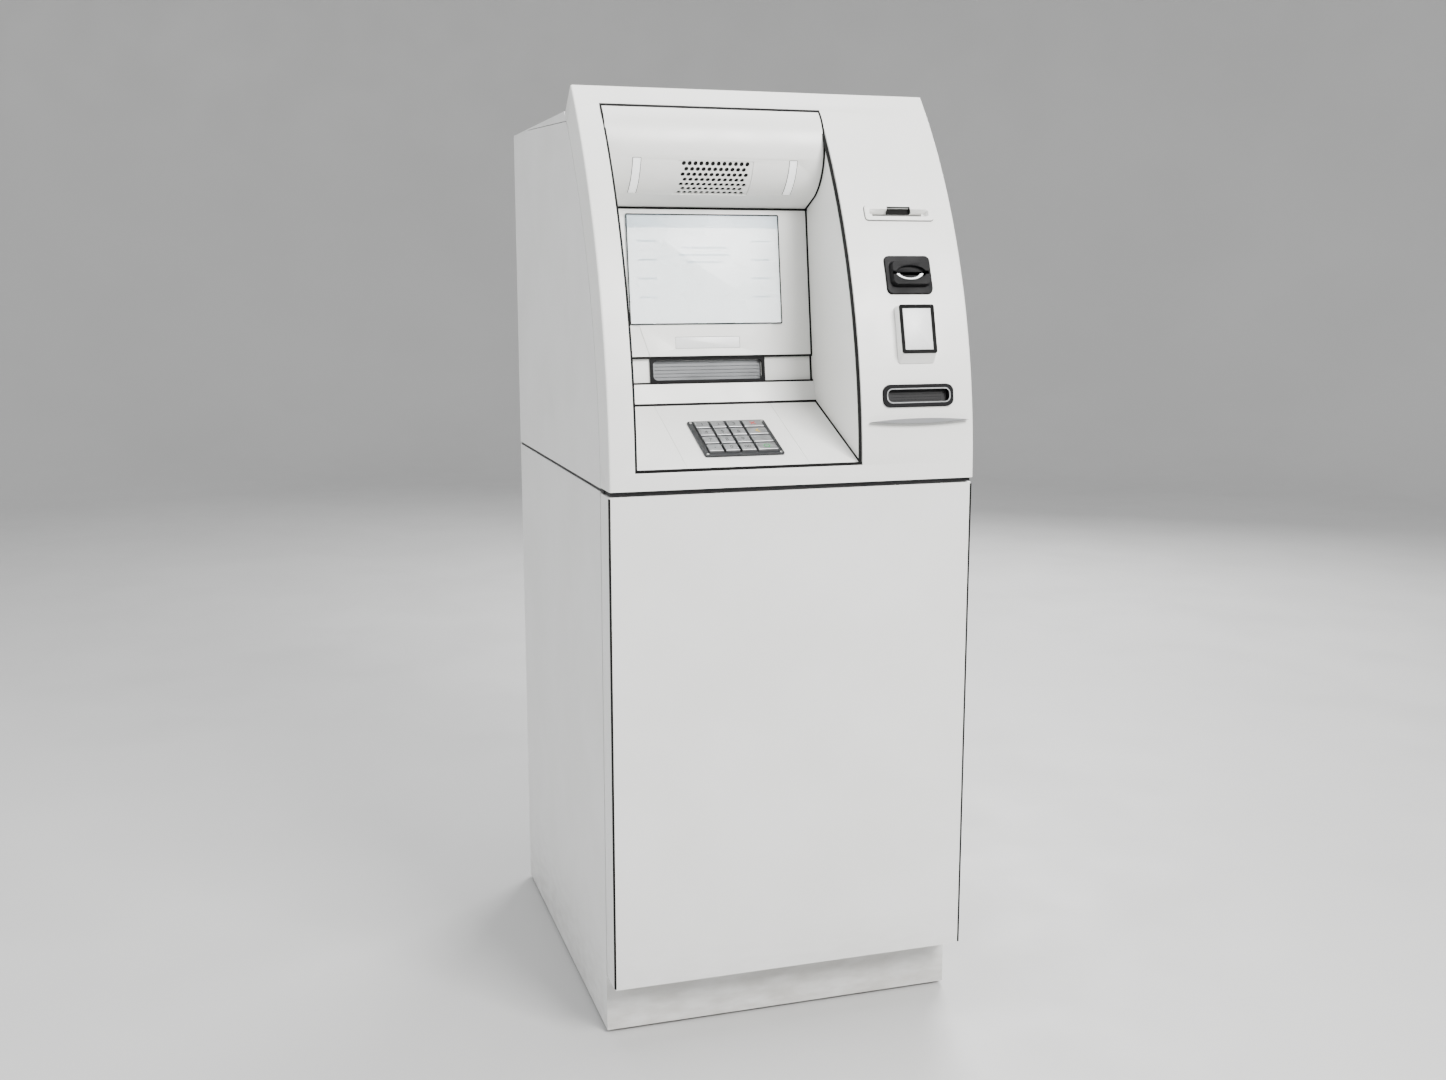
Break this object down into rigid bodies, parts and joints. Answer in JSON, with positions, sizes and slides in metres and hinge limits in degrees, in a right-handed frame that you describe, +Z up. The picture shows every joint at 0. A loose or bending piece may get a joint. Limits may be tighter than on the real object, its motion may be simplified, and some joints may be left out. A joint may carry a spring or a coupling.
{
  "type": "automated teller machine",
  "caption": "Free-standing lobby cash machine: curved front with screen recess, keypad shelf, card, receipt and deposit slots, on a cabinet around a safe.",
  "frame": {"origin": "on the floor under the middle of the machine's bounding box", "axes": "+X to the right of a person facing the machine, +Y from front to back, +Z up"},
  "size_m": [0.56, 0.7126, 1.4162],
  "materials": {
    "cabinet_paint": "fine textured powder coat",
    "plinth_paint": "fine textured powder coat",
    "front_moulding": "moulded, fine grain",
    "black_moulding": "moulded, fine grain",
    "bare_steel": "turned, bare",
    "dark_steel": "satin",
    "safe_paint": "hammered paint",
    "handle_chrome": "polished",
    "dial_metal": "anodised",
    "galvanised": "zinc plated",
    "cassette_plastic": "moulded",
    "unit_case": "satin",
    "grey_moulding": "moulded",
    "lamp_lens": "frosted",
    "screen_glass": "polished",
    "slot_metal": "brushed, anodised",
    "keypad_metal": "brushed",
    "keypad_frame_metal": "dark satin",
    "paper": "thermal paper",
    "rod_chrome": "polished"
  },
  "bodies": {
    "cabinet": {"base_frame": "plinth_paint", "levelling_feet": "bare_steel", "left_side_panel": "cabinet_paint", "right_side_panel": "cabinet_paint", "deck_plate": "dark_steel", "safe_body": "safe_paint", "dispenser_frame": "galvanised", "cash_cassettes": "cassette_plastic", "presenter": "galvanised", "power_unit": "unit_case", "mains_inlet": "black_moulding", "head_left_panel": "cabinet_paint", "head_right_panel": "cabinet_paint", "top_cover": "cabinet_paint", "pc_core": "unit_case", "hinge_pins": "bare_steel"},
    "fascia": {"fascia_shell": "front_moulding", "recess_liner": "front_moulding", "brow_panel": "front_moulding", "speaker_grille": "front_moulding", "brow_lamps": "lamp_lens", "screen_glass": "screen_glass", "monitor": "unit_case", "cash_bezel": "black_moulding", "keypad_shelf": "front_moulding", "keypad_frame": "keypad_frame_metal", "receipt_bezel": "front_moulding", "receipt_printer": "grey_moulding", "card_bezel": "black_moulding", "card_reader": "unit_case", "contactless_pad": "front_moulding", "deposit_bezel": "black_moulding", "ledge_strip": "grey_moulding"},
    "cash_shutter": {"cash_shutter": "slot_metal"},
    "deposit_shutter": {"deposit_shutter": "dark_steel"},
    "receipt_roll": {"receipt_roll": "paper"},
    "front_door": {"front_door": "cabinet_paint"},
    "safe_door": {"safe_door": "safe_paint"},
    "safe_handle": {"safe_handle": "handle_chrome"},
    "combination_dial": {"combination_dial": "dial_metal"},
    "safe_bolts": {"safe_bolts": "bare_steel"},
    "rear_door": {"rear_door": "cabinet_paint"},
    "strut_tubes": {"gas_strut_tubes": "black_moulding"},
    "strut_rods": {"gas_strut_rods": "rod_chrome"},
    "key_one": {"key_one": "keypad_metal"},
    "key_two": {"key_two": "keypad_metal"},
    "key_three": {"key_three": "keypad_metal"},
    "key_cancel": {"key_cancel": "keypad_metal"},
    "key_four": {"key_four": "keypad_metal"},
    "key_five": {"key_five": "keypad_metal"},
    "key_six": {"key_six": "keypad_metal"},
    "key_clear": {"key_clear": "keypad_metal"},
    "key_seven": {"key_seven": "keypad_metal"},
    "key_eight": {"key_eight": "keypad_metal"},
    "key_nine": {"key_nine": "keypad_metal"},
    "key_blank": {"key_blank": "keypad_metal"},
    "key_dot": {"key_dot": "keypad_metal"},
    "key_zero": {"key_zero": "keypad_metal"},
    "key_double_zero": {"key_double_zero": "keypad_metal"},
    "key_enter": {"key_enter": "keypad_metal"}
  },
  "joints": [
    {"name": "fascia_lift", "type": "hinge", "parent": "cabinet", "child": "fascia", "pos_m": [0, -0.08267, 1.389], "axis": [-1, 0, 0], "range_deg": [0, 60]},
    {"name": "strut_tilt", "type": "hinge", "parent": "cabinet", "child": "strut_tubes", "pos_m": [0, -0.01767, 1.33], "axis": [-1, 0, 0], "range_deg": [0, 48.5]},
    {"name": "strut_extend", "type": "slide", "parent": "strut_tubes", "child": "strut_rods", "axis": [0, -0.8609, -0.5087], "range_m": [0, 0.06627]},
    {"name": "cash_shutter_lift", "type": "slide", "parent": "fascia", "child": "cash_shutter", "axis": [0, 0.1406, 0.9901], "range_m": [0, 0.032]},
    {"name": "deposit_shutter_lift", "type": "slide", "parent": "fascia", "child": "deposit_shutter", "axis": [0, 0.1461, 0.9893], "range_m": [0, 0.02]},
    {"name": "receipt_roll_spin", "type": "hinge", "parent": "fascia", "child": "receipt_roll", "pos_m": [0.191, -0.17058, 1.24056], "axis": [1, 0, 0], "continuous": true},
    {"name": "front_door_swing", "type": "hinge", "parent": "cabinet", "child": "front_door", "pos_m": [-0.272, -0.30669, 0.4], "axis": [0, 0, -1], "range_deg": [0, 105]},
    {"name": "safe_door_swing", "type": "hinge", "parent": "cabinet", "child": "safe_door", "pos_m": [-0.228, 0.28401, 0.4], "axis": [0, 0, 1], "range_deg": [0, 100]},
    {"name": "safe_handle_turn", "type": "hinge", "parent": "safe_door", "child": "safe_handle", "pos_m": [0.12, 0.27601, 0.415], "axis": [0, 1, 0], "range_deg": [0, 90]},
    {"name": "safe_bolt_throw", "type": "slide", "parent": "safe_door", "child": "safe_bolts", "axis": [1, 0, 0], "range_m": [0, 0.02]},
    {"name": "dial_turn", "type": "hinge", "parent": "safe_door", "child": "combination_dial", "pos_m": [0.03, 0.27601, 0.47], "axis": [0, 1, 0], "continuous": true},
    {"name": "rear_door_swing", "type": "hinge", "parent": "cabinet", "child": "rear_door", "pos_m": [-0.2535, 0.35131, 1.1], "axis": [0, 0, 1], "range_deg": [0, 110]},
    {"name": "press_one", "type": "slide", "parent": "fascia", "child": "key_one", "axis": [0, 0.3753, -0.9269], "range_m": [0, 0.003], "stiffness_N_per_m": 400},
    {"name": "press_two", "type": "slide", "parent": "fascia", "child": "key_two", "axis": [0, 0.3753, -0.9269], "range_m": [0, 0.003], "stiffness_N_per_m": 400},
    {"name": "press_three", "type": "slide", "parent": "fascia", "child": "key_three", "axis": [0, 0.3753, -0.9269], "range_m": [0, 0.003], "stiffness_N_per_m": 400},
    {"name": "press_cancel", "type": "slide", "parent": "fascia", "child": "key_cancel", "axis": [0, 0.3753, -0.9269], "range_m": [0, 0.003], "stiffness_N_per_m": 400},
    {"name": "press_four", "type": "slide", "parent": "fascia", "child": "key_four", "axis": [0, 0.3753, -0.9269], "range_m": [0, 0.003], "stiffness_N_per_m": 400},
    {"name": "press_five", "type": "slide", "parent": "fascia", "child": "key_five", "axis": [0, 0.3753, -0.9269], "range_m": [0, 0.003], "stiffness_N_per_m": 400},
    {"name": "press_six", "type": "slide", "parent": "fascia", "child": "key_six", "axis": [0, 0.3753, -0.9269], "range_m": [0, 0.003], "stiffness_N_per_m": 400},
    {"name": "press_clear", "type": "slide", "parent": "fascia", "child": "key_clear", "axis": [0, 0.3753, -0.9269], "range_m": [0, 0.003], "stiffness_N_per_m": 400},
    {"name": "press_seven", "type": "slide", "parent": "fascia", "child": "key_seven", "axis": [0, 0.3753, -0.9269], "range_m": [0, 0.003], "stiffness_N_per_m": 400},
    {"name": "press_eight", "type": "slide", "parent": "fascia", "child": "key_eight", "axis": [0, 0.3753, -0.9269], "range_m": [0, 0.003], "stiffness_N_per_m": 400},
    {"name": "press_nine", "type": "slide", "parent": "fascia", "child": "key_nine", "axis": [0, 0.3753, -0.9269], "range_m": [0, 0.003], "stiffness_N_per_m": 400},
    {"name": "press_blank", "type": "slide", "parent": "fascia", "child": "key_blank", "axis": [0, 0.3753, -0.9269], "range_m": [0, 0.003], "stiffness_N_per_m": 400},
    {"name": "press_dot", "type": "slide", "parent": "fascia", "child": "key_dot", "axis": [0, 0.3753, -0.9269], "range_m": [0, 0.003], "stiffness_N_per_m": 400},
    {"name": "press_zero", "type": "slide", "parent": "fascia", "child": "key_zero", "axis": [0, 0.3753, -0.9269], "range_m": [0, 0.003], "stiffness_N_per_m": 400},
    {"name": "press_double_zero", "type": "slide", "parent": "fascia", "child": "key_double_zero", "axis": [0, 0.3753, -0.9269], "range_m": [0, 0.003], "stiffness_N_per_m": 400},
    {"name": "press_enter", "type": "slide", "parent": "fascia", "child": "key_enter", "axis": [0, 0.3753, -0.9269], "range_m": [0, 0.003], "stiffness_N_per_m": 400}
  ],
  "couplings": [
    {"joint": "strut_tilt", "follows": "fascia_lift", "ratio": 0.80754},
    {"joint": "strut_extend", "follows": "fascia_lift", "m_per_rad": 0.063184},
    {"joint": "safe_bolt_throw", "follows": "safe_handle_turn", "m_per_rad": 0.01272}
  ]
}
